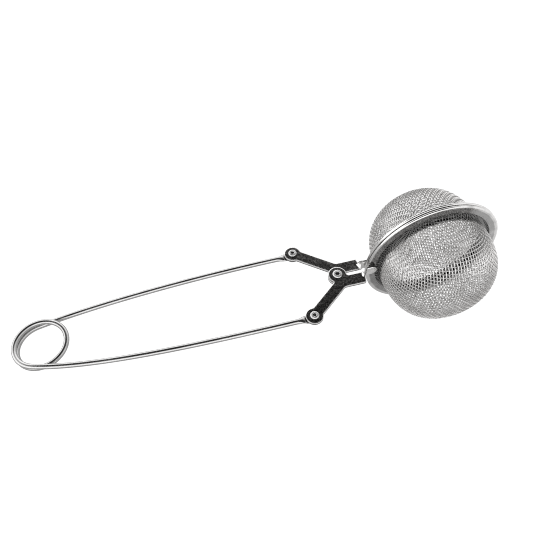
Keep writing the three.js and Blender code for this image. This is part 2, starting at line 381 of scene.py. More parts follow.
RIM_SEGMENTS = 240
RIM_WIDTH = 3.4
BEAD_RADIUS = 0.5
BEAD_START = -80
BEAD_END = 118
BEAD_STEPS = 14
BEAD_NECK = 1.3
BEAD_FOOT = 1.0
BEAD_FOOT_RISE = 0.06
FLANGE_DROP = 0.2
FLANGE_DISH = 0.05
LIP_RADIUS = 0.32
LIP_DROP = 0.34
LIP_WIDTH = 1.6
LIP_START = 80
LIP_END = 250
LIP_ARC_STEPS = 9

# the underside of the flange, as widths in from its edges and heights off the parting face
UNDER_LIP = (0.5, 0.14)
UNDER_FLANGE = (0.9, 0.05)
UNDER_BEAD = (1.3, 0.02)

COLLAR_HEIGHT = 2.0
COLLAR_WALL = 0.25
COLLAR_ROUND = 0.9
COLLAR_ROUND_HEIGHT = 1.2
COLLAR_ROUND_START = 240
COLLAR_ROUND_STEPS = 6
COLLAR_GAP = 0.1
COLLAR_FOOT_HEIGHT = 0.04


def rim_section():
    """Cross-section of a folded rim, as radius and height, going round anticlockwise."""
    low, high = RIM_INNER_FACE, RIM_OUTER_FACE
    outer = RIM_RADIUS
    inner = RIM_RADIUS - RIM_WIDTH
    flange = high - FLANGE_DROP
    bead_middle = (outer - BEAD_RADIUS, (low + high) / 2)
    bead = arc(bead_middle, BEAD_RADIUS, BEAD_START, BEAD_END, BEAD_STEPS)
    lip_middle = (inner + LIP_RADIUS, flange - LIP_DROP)
    lip = arc(lip_middle, LIP_RADIUS, LIP_START, LIP_END, LIP_ARC_STEPS)
    underside = [
        (inner + UNDER_FLANGE[0], low + UNDER_FLANGE[1]),
        (outer - UNDER_BEAD[0], low + UNDER_BEAD[1]),
    ]
    upper_side = [
        (outer - BEAD_FOOT, flange + BEAD_FOOT_RISE),
        (outer - BEAD_NECK, flange),
        (inner + LIP_WIDTH, flange - FLANGE_DISH),
    ]
    return underside + bead + upper_side + lip + [(inner + UNDER_LIP[0], low + UNDER_LIP[1])]


def lathe(section, segments):
    """Points about a vertical axis, and faces, for a closed section turned right round it."""
    turn = np.arange(segments) * 2 * math.pi / segments
    section = np.array(section)
    points = np.stack([
        np.outer(np.cos(turn), section[:, 0]),
        np.outer(np.sin(turn), section[:, 0]),
        np.tile(section[:, 1], (segments, 1)),
    ], axis=-1).reshape(-1, 3)
    return points, grid_faces(segments, len(section), wrap_rows=True)


def collar_section():
    """Cross-section of the thin collar that stands inside the cloth's hem and grips it."""
    foot = (RIM_RADIUS - RIM_WIDTH - COLLAR_GAP, RIM_INNER_FACE + COLLAR_FOOT_HEIGHT)
    neck = BOWL_RADIUS - 2 * WEAVE_THICKNESS - COLLAR_GAP
    middle = (neck + COLLAR_ROUND, COLLAR_ROUND_HEIGHT)
    curve = arc(middle, COLLAR_ROUND, COLLAR_ROUND_START, 180, COLLAR_ROUND_STEPS)
    outer = [foot] + curve + [(neck, COLLAR_HEIGHT)]
    inner = [(r - COLLAR_WALL, h) for r, h in outer]
    return outer + inner[::-1]


def make_rims():
    shapes = (
        ("rim", rim_section(), "rim_steel"),
        ("collar", collar_section(), "collar_steel"),
    )
    for name, section, steel in shapes:
        points, faces = lathe(section, RIM_SEGMENTS)
        for side, half in ((FRONT, "front"), (BACK, "back")):
            piece = mesh_piece(f"{half}_{name}", on_ball(points, side), turned(faces, side))
            piece.data.materials.append(material(steel))
            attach(piece, f"{half}_half")
            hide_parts(f"{half}_rim_ring")


# ---- levers --------------------------------------------------------------------------------------

LEVER_THICKNESS = 1.1
LEVER_ARM_WIDTH = 4.2
LEVER_EYE_RADIUS = 3.1
LEVER_BOSS_RADIUS = 3.3
LEVER_KNEE = (0.4, 3.6)
LEVER_NOSE_INNER = 1.2
LEVER_NOSE_OUTER = 5.7
LEVER_NOSE_END_INNER = 9.7
LEVER_NOSE_END_OUTER = 9.0
LEVER_BEVEL = 0.1
DIE_ROLL = (0.34, 0.13)
FRACTURE_AND_SHADE_SHARE = 0.4
EYE_FILLET = 1.2
BOSS_FILLET = 0.8
KNEE_ROUND = 1.6
CORNER_ROUND = 0.35

PIVOT_HOLE = 1.25
ARM_HOLE = 1.05
HOLE_SIDES = 32
CORNER_STEPS = 6
LOBE_STEPS = 24
NEAREST_POINTS = 0.02
STEEPEST_MITRE = 0.5
ROUND_OVER_ANGLES = (0, 20, 40, 60, 75, 90)

# the kinds of a stamped plate's faces, which number its materials too: flat, painted highlight and
# painted shade
FLAT, PAINTED_HIGHLIGHT, PAINTED_SHADE = 0, 1, 2


def heading(v):
    """The angle of a direction in the plane, in radians."""
    return math.atan2(v[1], v[0])


def shorter_turn(start, end):
    """The turn from one heading to another, the shorter way round."""
    return (end - start + math.pi) % (2 * math.pi) - math.pi


def swept_arc(centre, radius, start, sweep, steps):
    """Points of an arc that starts at a heading and turns through a sweep."""
    headings = [start + sweep * t for t in np.linspace(0, 1, steps + 1)]
    return [(centre[0] + radius * math.cos(a), centre[1] + radius * math.sin(a)) for a in headings]


def rounded_corner(before, corner, after, radius):
    """Points that round a corner off between two straight edges."""
    b, c, a = (np.array(p, float) for p in (before, corner, after))
    u = (b - c) / np.linalg.norm(b - c)
    v = (a - c) / np.linalg.norm(a - c)
    half = math.acos(np.clip(u @ v, -1, 1)) / 2
    back = radius / math.tan(half)
    centre = c + (u + v) / np.linalg.norm(u + v) * radius / math.sin(half)
    start = heading(c + u * back - centre)
    sweep = shorter_turn(start, heading(c + v * back - centre))
    return swept_arc(centre, radius, start, sweep, CORNER_STEPS)


def lobe_fillet(centre, lobe_radius, along, outward, offset, radius):
    """Points of the hollow fillet from a round lobe onto a straight edge, lobe end first.

    The edge runs the way of along, offset from the lobe's centre the way of outward.
    """
    centre, along, outward = (np.array(v, float) for v in (centre, along, outward))
    reach = math.sqrt((lobe_radius + radius) ** 2 - (offset + radius) ** 2)
    hollow = centre + along * reach + outward * (offset + radius)
    start = heading((centre - hollow) / np.linalg.norm(centre - hollow))
    sweep = shorter_turn(start, heading(-outward))
    return swept_arc(hollow, radius, start, sweep, CORNER_STEPS)


def lobe_arc(centre, radius, start, end):
    """Points between two others on a lobe's arc, anticlockwise."""
    first = heading((start[0] - centre[0], start[1] - centre[1]))
    last = heading((end[0] - centre[0], end[1] - centre[1]))
    sweep = (last - first) % (2 * math.pi)
    return swept_arc(centre, radius, first, sweep, LOBE_STEPS)[1:-1]


def lever_outline(eye):
    """The outline of the back lever about the pivot, anticlockwise. Its eye is at eye."""
    eye = np.array(eye, float)
    knee = np.array(LEVER_KNEE)
    arm = (knee - eye) / np.linalg.norm(knee - eye)
    outer = np.array([-arm[1], arm[0]])
    inner = -outer
    half = LEVER_ARM_WIDTH / 2
    boss = np.zeros(2)
    boss_to_inner_edge = (eye - boss) @ inner + half

    eye_inner = lobe_fillet(eye, LEVER_EYE_RADIUS, arm, inner, half, EYE_FILLET)
    boss_arm = lobe_fillet(boss, LEVER_BOSS_RADIUS, -arm, inner, boss_to_inner_edge, BOSS_FILLET)
    boss_nose = lobe_fillet(boss, LEVER_BOSS_RADIUS, (1, 0), (0, -1), -LEVER_NOSE_INNER, BOSS_FILLET)
    eye_outer = lobe_fillet(eye, LEVER_EYE_RADIUS, arm, outer, half, EYE_FILLET)

    end_inner = (LEVER_NOSE_END_INNER, LEVER_NOSE_INNER)
    end_outer = (LEVER_NOSE_END_OUTER, LEVER_NOSE_OUTER)
    edge = eye + outer * half
    outer_corner = tuple(edge + arm * (LEVER_NOSE_OUTER - edge[1]) / arm[1])
    nose_start = (LEVER_BOSS_RADIUS, LEVER_NOSE_INNER)
    return (
        eye_inner
        + boss_arm[::-1]
        + lobe_arc(boss, LEVER_BOSS_RADIUS, boss_arm[0], boss_nose[0])
        + boss_nose
        + rounded_corner(nose_start, end_inner, end_outer, CORNER_ROUND)
        + rounded_corner(end_inner, end_outer, outer_corner, CORNER_ROUND)
        + rounded_corner(end_outer, outer_corner, tuple(edge), KNEE_ROUND)
        + eye_outer[::-1]
        + lobe_arc(eye, LEVER_EYE_RADIUS, eye_outer[0], eye_inner[0])
    )


def offset_loop(loop, distance):
    """A closed anticlockwise loop moved inwards by a distance."""
    loop = np.array(loop)
    edge = np.roll(loop, -1, axis=0) - loop
    edge /= np.linalg.norm(edge, axis=1, keepdims=True)
    normal = np.stack([-edge[:, 1], edge[:, 0]], axis=1)
    mitre = normal + np.roll(normal, 1, axis=0)
    mitre /= np.maximum((mitre * normal).sum(axis=1, keepdims=True), STEEPEST_MITRE)
    return loop + mitre * distance


def without_repeats(loop):
    """A loop of points without those that all but touch the one before."""
    kept = [loop[0]]
    for point in loop[1:]:
        if math.dist(point, kept[-1]) > NEAREST_POINTS:
            kept.append(point)
    if math.dist(kept[0], kept[-1]) <= NEAREST_POINTS:
        kept.pop()
    return kept


def round_over(width, drop):
    """Insets and drops from a plate's flat down to its side, round a quarter of an ellipse."""
    angles = np.radians(ROUND_OVER_ANGLES)
    return [(width * (1 - math.sin(a)), drop * (1 - math.cos(a))) for a in angles]


def stamped_plate(outline, holes, low, high, bevel, roll=None):
    """A plate with rounded edges and round holes: points, faces and each face's kind.

    The lower part of the plate's side is torn and painted dark as shade, and the rest sheared and
    painted bright as a highlight. The upper edge is rounded by roll, a width and a drop, where that is
    given, and otherwise by bevel as the lower one is.
    """
    outline = without_repeats(outline)
    lower_edge = round_over(bevel, bevel)
    upper_edge = round_over(*(roll or (bevel, bevel)))
    shade_rows = len(lower_edge)
    levels = [(inset, low + drop) for inset, drop in lower_edge]
    levels.append((0, low + (high - low) * FRACTURE_AND_SHADE_SHARE))
    levels += [(inset, high - drop) for inset, drop in reversed(upper_edge)]
    points, faces, kinds = [], [], []

    def add_wall(loop, inwards):
        """Add the plate's side along a loop, and return its lowest and highest points' numbers."""
        start = len(points)
        for inset, height in levels:
            ring = offset_loop(loop, inset * inwards)
            points.extend((x, y, height) for x, y in ring)
        size = len(loop)
        wall = [tuple(start + k for k in f) for f in grid_faces(len(levels), size)]
        if inwards < 0:
            wall = [tuple(reversed(f)) for f in wall]
        faces.extend(wall)
        # the lower rows of the side are painted dark as shade, the rest painted bright as a highlight
        shade_count = size * shade_rows
        kinds.extend([PAINTED_SHADE] * shade_count + [PAINTED_HIGHLIGHT] * (len(wall) - shade_count))
        return range(start, start + size), range(len(points) - size, len(points))

    walls = [add_wall(outline, 1)]
    for centre, radius in holes:
        walls.append(add_wall(arc(centre, radius, 0, 360, HOLE_SIDES)[:-1], -1))
    lowest, highest = zip(*walls)
    for rings, faces_up in ((highest, True), (lowest, False)):
        numbers = [k for ring in rings for k in ring]
        flat = [[Vector(points[k]) for k in ring] for ring in rings]
        for triangle in tessellate_polygon(flat):
            face = [numbers[k] for k in triangle]
            a, b, c = (points[k] for k in face)
            turns_up = (b[0] - a[0]) * (c[1] - a[1]) - (b[1] - a[1]) * (c[0] - a[0]) > 0
            if turns_up != faces_up:
                face.reverse()
            faces.append(tuple(face))
            kinds.append(FLAT)
    return points, faces, kinds


TAB_START = 7.4
TAB_TWIST_START = 8.2
TAB_TWIST_END = 10.4
TAB_END = 14
TAB_THICKNESS = 0.95
TAB_WIDTH = 4.1
TAB_NECK_WIDTH = 2.3
TAB_TIP_WIDTH = 0.6
TAB_EDGE_ROUND = 0.44
TAB_INNER_FACE = 1.5
TAB_STEPS = 44
TAB_SECTION_STEPS = 5


def smooth_step(value):
    """A value eased between 0 and 1, level at both."""
    t = min(max(value, 0), 1)
    return t * t * (3 - 2 * t)


def tab_section(width, thickness, round_by):
    """A flat bar's section with rounded corners, anticlockwise, width along the first axis."""
    corners = []
    for sx, sy, start in ((1, -1, -90), (1, 1, 0), (-1, 1, 90), (-1, -1, 180)):
        centre = (sx * (width / 2 - round_by), sy * (thickness / 2 - round_by))
        corners += arc(centre, round_by, start, start + 90, TAB_SECTION_STEPS)
    return corners


def tab_width(x, twist):
    """The tab's width, growing with its twist and rounded off at its end."""
    width = TAB_NECK_WIDTH + (TAB_WIDTH - TAB_NECK_WIDTH) * twist
    radius = TAB_WIDTH / 2
    to_end = TAB_END - x
    if to_end >= radius:
        return width
    half_chord = math.sqrt(max(radius ** 2 - (radius - to_end) ** 2, (TAB_TIP_WIDTH / 2) ** 2))
    return min(width, 2 * half_chord)


def tab_mesh(low):
    """The strip that leaves the back lever's nose flat, twists upright and ends at the rim."""
    flat_y = LEVER_NOSE_INNER + TAB_NECK_WIDTH / 2
    upright_y = TAB_INNER_FACE + TAB_THICKNESS / 2
    points = []
    for k in range(TAB_STEPS + 1):
        x = TAB_START + (TAB_END - TAB_START) * math.sin(k / TAB_STEPS * math.pi / 2)
        twist = smooth_step((x - TAB_TWIST_START) / (TAB_TWIST_END - TAB_TWIST_START))
        width = tab_width(x, twist)
        angle = twist * math.pi / 2
        y = flat_y * (1 - twist) + upright_y * twist
        z = low + LEVER_THICKNESS / 2 + (TAB_WIDTH - LEVER_THICKNESS) / 2 * twist
        for across, through in tab_section(width, TAB_THICKNESS, min(TAB_EDGE_ROUND, width / 3)):
            points.append((
                x,
                y + across * math.cos(angle) - through * math.sin(angle),
                z + across * math.sin(angle) + through * math.cos(angle),
            ))
    size = 4 * (TAB_SECTION_STEPS + 1)
    faces = grid_faces(TAB_STEPS + 1, size)
    # the tab's narrow sides are painted dark as the shadow above the blade, and its broad faces
    # painted bright as a highlight
    narrow_side = range(TAB_SECTION_STEPS - 2, TAB_SECTION_STEPS + 3)
    kinds = [PAINTED_SHADE if k % (size // 2) in narrow_side else PAINTED_HIGHLIGHT for k in range(len(faces))]
    faces.append(tuple(reversed(range(size))))
    faces.append(tuple(TAB_STEPS * size + k for k in range(size)))
    return points, faces, kinds + [PAINTED_HIGHLIGHT, PAINTED_HIGHLIGHT]


def make_levers():
    eye_place = joint_place["front_arm_pivot"] - PIVOT
    eye = (eye_place.x, abs(eye_place.y))
    outline = lever_outline(eye)
    holes = [((0, 0), PIVOT_HOLE), (eye, ARM_HOLE)]
    for side, half in ((FRONT, "front"), (BACK, "back")):
        low = box_mm(f"{half}_lever")[0].z
        high = low + LEVER_THICKNESS
        points, faces, kinds = stamped_plate(outline, holes, low, high, LEVER_BEVEL, DIE_ROLL)
        tab_points, tab_faces, tab_kinds = tab_mesh(low)
        start = len(points)
        points = points + tab_points
        faces = faces + [tuple(start + k for k in f) for f in tab_faces]
        placed = [(PIVOT.x + x, side * y, z) for x, y, z in points]
        if side == FRONT:
            faces = [tuple(reversed(f)) for f in faces]
        piece = mesh_piece(f"{half}_lever_plate", placed, faces, True, kinds + tab_kinds)
        # the faces take a painted dark reflection, the sides and tab a painted highlight, and the
        # lower sides and the tab's narrow sides painted shade
        piece.data.materials.append(material("lever_face"))
        piece.data.materials.append(material("lever_edge"))
        piece.data.materials.append(material("torn_edge"))
        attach(piece, f"{half}_half")
        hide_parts(f"{half}_lever")


# ---- rivets --------------------------------------------------------------------------------------

RIVET_SEGMENTS = 64
HEAD_HEIGHT = 0.55
LIP_LEAN = 1.7
LIP_STEPS = 24
PIVOT_RIVET = {"shaft": 1.2, "bore": 0.75, "head": 1.8}
ARM_RIVET = {"shaft": 1.0, "bore": 0.6, "head": 1.6}


def rivet_section(low, high, shaft, bore, head):
    """Section of a tubular rivet with a rolled lip at each end, as radius and height.

    The lip's crest leans in towards the bore, and the lip falls away to the head's edge.
    """
    def lip(base, way):
        points = []
        for a in np.radians(np.linspace(0, 180, LIP_STEPS + 1)):
            out = ((1 - math.cos(a)) / 2) ** LIP_LEAN
            points.append((bore + (head - bore) * out, base + way * HEAD_HEIGHT * math.sin(a)))
        return points

    top = high - HEAD_HEIGHT
    bottom = low + HEAD_HEIGHT
    return lip(bottom, -1) + [(shaft, bottom), (shaft, top)] + lip(top, 1)[::-1]


def make_rivets():
    arm_pivot = joint_place["front_arm_pivot"]
    places = {
        "pivot_rivet": (PIVOT.x, PIVOT.y, PIVOT_RIVET, "pivot"),
        "front_arm_rivet": (arm_pivot.x, arm_pivot.y, ARM_RIVET, "front_half"),
        "back_arm_rivet": (arm_pivot.x, -arm_pivot.y, ARM_RIVET, "back_half"),
    }
    for node, (x, y, radii, body) in places.items():
        low, high = (corner.z for corner in box_mm(node))
        section = rivet_section(low, high, **radii)
        points, faces = lathe(section, RIVET_SEGMENTS)
        placed = points + np.array([x, y, 0])
        # the last face of each turn of the section is the wall of the bore, painted dark as shade
        in_bore = [int((k + 1) % len(section) == 0) for k in range(len(faces))]
        piece = mesh_piece(node + "_tube", placed, faces, True, in_bore)
        piece.data.materials.append(material("rivet_steel"))
        piece.data.materials.append(material("torn_edge"))
        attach(piece, body)
        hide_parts(node)


# ---- handle wire ---------------------------------------------------------------------------------

WIRE_RADIUS = 0.92
WIRE_SIDES = 20
LOOP_RADIUS = 8.6
LOOP_PITCH = 2.3
ARM_SPLAY = math.atan(0.2)
# the coil widens by LOOP_UNCOIL over its first quarter turn, where the front arm leaves it
LOOP_UNCOIL = 0.5
UNCOIL_SWEEP = math.pi / 2 - ARM_SPLAY
UNCOILED_RADIUS = LOOP_RADIUS + LOOP_UNCOIL
UNCOILED_SLOPE = math.atan(2 * LOOP_UNCOIL / (UNCOIL_SWEEP * UNCOILED_RADIUS))
ARM_BEND = 22
ARM_STRAIGHT = 32
EYE_THICKNESS = 0.8
EYE_RADIUS = 2.7
EYE_NECK = 4
EYE_BEVEL = 0.22
EYE_SIDES = 64
EYE_GAP = 0.15
WIRE_INTO_EYE = 0.8 * EYE_RADIUS
FLAT_HALF_WIDTH = 1.75
FRONT_EYE_HOLE = 1.2
BACK_EYE_HOLE = 1.55
FLAT_LENGTH = 0.6
FLATTEN_LENGTH = 3.2
LOOP_STEPS = 200
ARM_STEPS = 90


def bezier(points, steps):
    """Points along a cubic curve from its four control points."""
    t = np.linspace(0, 1, steps + 1)[:, None]
    a, b, c, d = (np.array(p, float) for p in points)
    return (1 - t) ** 3 * a + 3 * (1 - t) ** 2 * t * b + 3 * (1 - t) * t ** 2 * c + t ** 3 * d


def arm_line(side, eye, rise):
    """The middle of one arm, from the loop to its eye."""
    angle = math.pi / 2 + ARM_SPLAY
    radius = UNCOILED_RADIUS if side == FRONT else LOOP_RADIUS
    slope = ARM_SPLAY + UNCOILED_SLOPE if side == FRONT else ARM_SPLAY
    start = np.array([
        LOOP.x + radius * math.cos(angle),
        side * radius * math.sin(angle),
        LOOP.z - side * rise / 2,
    ])
    end = np.array([eye.x - EYE_NECK, eye.y, eye.z])
    leaving = np.array([math.cos(slope), side * math.sin(slope), 0])
    arriving = np.array([1, 0, 0])
    controls = (start, start + leaving * ARM_BEND, end - arriving * ARM_STRAIGHT, end)
    return bezier(controls, ARM_STEPS)


def wire_line(front_eye, back_eye):
    """The middle of the whole wire, from the front eye round the loop to the back eye."""
    sweep = 3 * math.pi - 2 * ARM_SPLAY
    rise = LOOP_PITCH * sweep / (2 * math.pi)
    t = np.linspace(0, 1, LOOP_STEPS + 1)
    angle = -math.pi / 2 - ARM_SPLAY - t * sweep
    radius = LOOP_RADIUS + LOOP_UNCOIL * np.maximum(0, 1 - t * sweep / UNCOIL_SWEEP) ** 2
    loop = np.stack([
        LOOP.x + radius * np.cos(angle),
        radius * np.sin(angle),
        LOOP.z + rise * (0.5 - t),
    ], axis=1)
    front = arm_line(FRONT, front_eye, rise)[::-1]
    back = arm_line(BACK, back_eye, rise)
    front_end, back_end = ([[e.x - WIRE_INTO_EYE, e.y, e.z]] for e in (front_eye, back_eye))
    return np.concatenate([front_end, front, loop[1:-1], back, back_end])


def sweep_wire(line):
    """Round wire along a line, flattened towards both ends."""
    step = np.linalg.norm(np.diff(line, axis=0), axis=1)
    length = np.concatenate([[0], np.cumsum(step)])
    to_end = np.minimum(length, length[-1] - length)
    flat = np.array([1 - smooth_step((d - FLAT_LENGTH) / FLATTEN_LENGTH) for d in to_end])
    tangent = np.gradient(line, axis=0)
    tangent /= np.linalg.norm(tangent, axis=1, keepdims=True)
    across = np.cross(np.array([0, 0, 1.0]), tangent)
    across /= np.linalg.norm(across, axis=1, keepdims=True)
    up = np.cross(tangent, across)
    half_width = WIRE_RADIUS + (FLAT_HALF_WIDTH - WIRE_RADIUS) * flat
    half_height = WIRE_RADIUS + (EYE_THICKNESS / 2 - WIRE_RADIUS) * flat
    turn = np.arange(WIRE_SIDES) * 2 * math.pi / WIRE_SIDES
    ring = (line[:, None, :]
            + half_width[:, None, None] * np.cos(turn)[None, :, None] * across[:, None, :]
            + half_height[:, None, None] * np.sin(turn)[None, :, None] * up[:, None, :])
    faces = [tuple(reversed(f)) for f in grid_faces(len(line), WIRE_SIDES)]
    last_ring = (len(line) - 1) * WIRE_SIDES
    faces.append(tuple(range(WIRE_SIDES)))
    faces.append(tuple(last_ring + k for k in reversed(range(WIRE_SIDES))))
    return ring.reshape(-1, 3), faces


def make_wire():
    arm_pivot = joint_place["front_arm_pivot"]
    eyes = []
    for side, half in ((FRONT, "front"), (BACK, "back")):
        top = box_mm(f"{half}_lever")[0].z - EYE_GAP
        eyes.append(Vector((arm_pivot.x, side * abs(arm_pivot.y), top - EYE_THICKNESS / 2)))
    points, faces = sweep_wire(wire_line(*eyes))
    points = list(map(tuple, points))
    for eye, hole in zip(eyes, (FRONT_EYE_HOLE, BACK_EYE_HOLE)):
        disc = arc((eye.x, eye.y), EYE_RADIUS, 0, 360, EYE_SIDES)[:-1]
        low, high = eye.z - EYE_THICKNESS / 2, eye.z + EYE_THICKNESS / 2
        eye_points, eye_faces, _ = stamped_plate(disc, [((eye.x, eye.y), hole)], low, high, EYE_BEVEL)
        start = len(points)
        points += eye_points
        faces += [tuple(start + k for k in f) for f in eye_faces]
    piece = mesh_piece("handle_wire", points, faces)
    piece.data.materials.append(material("wire_steel"))
    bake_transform(piece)
    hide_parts("front_handle_arm", "back_handle_arm", "finger_loop")


# ---- materials -----------------------------------------------------------------------------------

materials = {}


def material(name):
    """A material by its name, made the first time it is asked for."""
    if name not in materials:
        materials[name] = MAKERS[name](name)
    return materials[name]


def set_input(tree, socket, value):
    """Join a node's input to another node's output, or set it to a constant."""
    if isinstance(value, bpy.types.NodeSocket):
        tree.links.new(value, socket)
    else:
        socket.default_value = value


def add_node(tree, kind, inputs=None, **settings):
    node = tree.nodes.new(kind)
    for key, value in settings.items():
        setattr(node, key, value)
    for key, value in (inputs or {}).items():
        set_input(tree, node.inputs[key], value)
    return node


class Nodes:
    """A material's node tree, with short ways to add and join nodes."""

    def __init__(self, name):
        self.material = bpy.data.materials.new(name)
        self.material.use_nodes = True
        self.tree = self.material.node_tree
        self.shader = self.tree.nodes["Principled BSDF"]

    def add(self, kind, inputs=None, **settings):
        return add_node(self.tree, kind, inputs, **settings)

    def place(self, stretch=(1, 1, 1)):
        """The place on the object in millimetres, times stretch along each axis."""
        coordinates = self.add("ShaderNodeTexCoord")
        mapping = self.add("ShaderNodeMapping", {"Vector": coordinates.outputs["Object"]})
        mapping.inputs["Scale"].default_value = [s / MM for s in stretch]
        return mapping.outputs["Vector"]

    def noise(self, vector, scale, detail=3, rough=0.5):
        node = self.add("ShaderNodeTexNoise", {"Vector": vector, "Scale": scale, "Detail": detail})
        node.inputs["Roughness"].default_value = rough
        return node.outputs["Fac"]

    def span(self, value, low, high, start=0.3, end=0.7):
        """A value from start to end, spread between low and high and clamped there.

        The usual start and end are those of a noise.
        """
        ends = {"From Min": start, "From Max": end, "To Min": low, "To Max": high}
        return self.add("ShaderNodeMapRange", {"Value": value, **ends}).outputs["Result"]

    def ramp(self, value, stops):
        """A colour that runs through stops, each a position from 0 to 1 and its colour."""
        node = self.add("ShaderNodeValToRGB", {"Fac": value})
        while len(node.color_ramp.elements) < len(stops):
            node.color_ramp.elements.new(0.5)
        for element, (position, colour) in zip(node.color_ramp.elements, stops):
            element.position = position
            element.color = (*colour, 1)
        return node.outputs["Color"]

    def bump(self, height, strength, distance_mm):
        """A normal roughened by a height."""
        node = self.add("ShaderNodeBump", {"Height": height, "Strength": strength})
        node.inputs["Distance"].default_value = distance_mm * MM
        return node.outputs["Normal"]

    def set(self, **inputs):
        """Set or join the shader's inputs, and return the material."""
        for key, value in inputs.items():
            set_input(self.tree, self.shader.inputs[key.replace("_", " ")], value)
        return self.material

    def steel(self, colour, roughness, normal):
        """Finish the material as bare metal."""
        return self.set(Base_Color=colour, Metallic=1.0, Roughness=roughness, Normal=normal)


def grey(value, warmth=0.0):
    """A grey whose red is raised and whose blue is lowered by warmth."""
    return (value * (1 + warmth), value, value * (1 - warmth))


def wire_steel(name):
    """Bright drawn spring wire: fine lines along it and faint rubbed patches."""
    n = Nodes(name)
    drawn = n.noise(n.place((0.08, 3, 3)), 2.5, 4)
    patches = n.noise(n.place(), 0.15)
    roughness = n.span(patches, 0.16, 0.3)
    colour = n.ramp(patches, ((0.3, grey(0.46, 0.01)), (0.7, grey(0.58, 0.005))))
    return n.steel(colour, roughness, n.bump(drawn, 0.25, 0.02))


LINES_PER_MM = 7
# radii between which the rim's colour turns from the flange's grey to the bead's painted highlight
BEAD_HIGHLIGHT_RADII = (RIM_RADIUS - 1.4, RIM_RADIUS - 1)


def rim_steel(name):
    """Pressed sheet, polished on a wheel: rings of fine lines, and a bead painted brighter than the
    flange as a painted highlight.
    """
    n = Nodes(name)
    place = n.add("ShaderNodeTexCoord").outputs["Object"]
    centre = [c * MM for c in BALL]
    about = n.add("ShaderNodeVectorMath", {0: place, 1: centre}, operation="SUBTRACT").outputs[0]
    flat = n.add("ShaderNodeVectorMath", {0: about, 1: (1, 0, 1)}, operation="MULTIPLY").outputs[0]
    radius = n.add("ShaderNodeVectorMath", {0: flat}, operation="LENGTH").outputs["Value"]
    rings = n.add("ShaderNodeMath", {0: radius, 1: LINES_PER_MM / MM}, operation="MULTIPLY").outputs[0]
    lines = n.add("ShaderNodeTexNoise", {"W": rings, "Scale": 1.0, "Detail": 3}, noise_dimensions="1D")
    patches = n.noise(n.place(), 0.22)
    roughness = n.span(patches, 0.12, 0.26)
    # the bead is painted brighter than the flange as a highlight; the patches are the sheet's own
    # mottle
    bead = n.span(radius, 0.45, 0, *(edge * MM for edge in BEAD_HIGHLIGHT_RADII))
    mottle_and_bead_highlight = n.add("ShaderNodeMath", {0: patches, 1: bead}, operation="SUBTRACT").outputs[0]
    shades = ((0, grey(0.32, 0.01)), (0.2, grey(0.46, 0.01)), (0.5, grey(0.76, 0.01)))
    return n.steel(n.ramp(mottle_and_bead_highlight, shades), roughness, n.bump(lines.outputs["Fac"], 0.3, 0.02))


def collar_steel(name):
    """The drawn collar inside each rim, its colour painted dark as shade."""
    n = Nodes(name)
    streaks = n.noise(n.place((0.4, 3, 0.4)), 1.2, 4)
    # the collar's dark greys are painted shade; the streaks are its own
    colour = n.ramp(streaks, ((0.3, grey(0.12, 0.02)), (0.7, grey(0.26, 0.015))))
    roughness = n.span(streaks, 0.2, 0.36)
    return n.steel(colour, roughness, n.bump(streaks, 0.3, 0.03))


# heights from the parting plane between which the cloth's painted shade beside the rim lifts to its
# full colour
HEM_PAINTED_SHADE = (1.6, 3.2)


def cloth_steel(name):
    """Fine woven wire, crimped into the rim, with painted shade darkening it beside the rim."""
    n = Nodes(name)
    patches = n.noise(n.place(), 0.12, 4)
    steel = n.ramp(patches, ((0.3, grey(0.58, 0.015)), (0.7, grey(0.74, 0.01))))
    split = n.add("ShaderNodeSeparateXYZ", {0: n.place()}).outputs["Y"]
    height = n.add("ShaderNodeMath", {0: split}, operation="ABSOLUTE").outputs[0]
    # painted shade darkens the cloth beside the rim
    hem_shade = n.span(height, 0.25, 1, *HEM_PAINTED_SHADE)
    colour = n.add("ShaderNodeVectorMath", {0: steel, 1: hem_shade}, operation="MULTIPLY").outputs[0]
    roughness = n.span(patches, 0.2, 0.36)
    grain = n.noise(n.place(), 9)
    return n.steel(colour, roughness, n.bump(grain, 0.15, 0.02))


def lever_face(name):
    """Tumbled stainless sheet, painted dark as a reflection, with fine pits and a light mottle."""
    n = Nodes(name)
    mottle = n.noise(n.place(), 1.3, 6, 0.65)
    pits = n.noise(n.place(), 5.5, 3, 0.6)
    # these dark greys are a painted dark reflection on the sheet; the mottle is its own
    shades = ((0.36, grey(0.05, 0.03)), (0.5, grey(0.1, 0.03)), (0.68, grey(0.26, 0.02)))
    colour = n.ramp(mottle, shades)
    roughness = n.span(mottle, 0.22, 0.36)
    return n.steel(colour, roughness, n.bump(pits, 0.5, 0.05))


def lever_edge(name):
    """The lever's sheared edges and tab, painted bright as a highlight on the same steel as the dark
    faces.
    """
    n = Nodes(name)
    drag = n.noise(n.place((2, 2, 0.4)), 2.2, 4)
    patches = n.noise(n.place(), 0.5)
    # these bright greys are a painted highlight on the same steel as the dark faces
    colour = n.ramp(patches, ((0.3, grey(0.72, 0.01)), (0.7, grey(0.92, 0.01))))
    roughness = n.span(drag, 0.2, 0.36)
    return n.steel(colour, roughness, n.bump(drag, 0.3, 0.03))


def torn_edge(name):
    """Dull steel painted dark as shade: the torn lower part of a stamped edge, the tab's narrow sides
    and the bore of a rivet.
    """
    n = Nodes(name)
    grain = n.noise(n.place(), 8, 4)
    # these dark greys are painted shade
    colour = n.ramp(grain, ((0.3, grey(0.05, 0.02)), (0.7, grey(0.16, 0.02))))
    roughness = n.span(grain, 0.4, 0.6)
    return n.steel(colour, roughness, n.bump(grain, 0.5, 0.05))


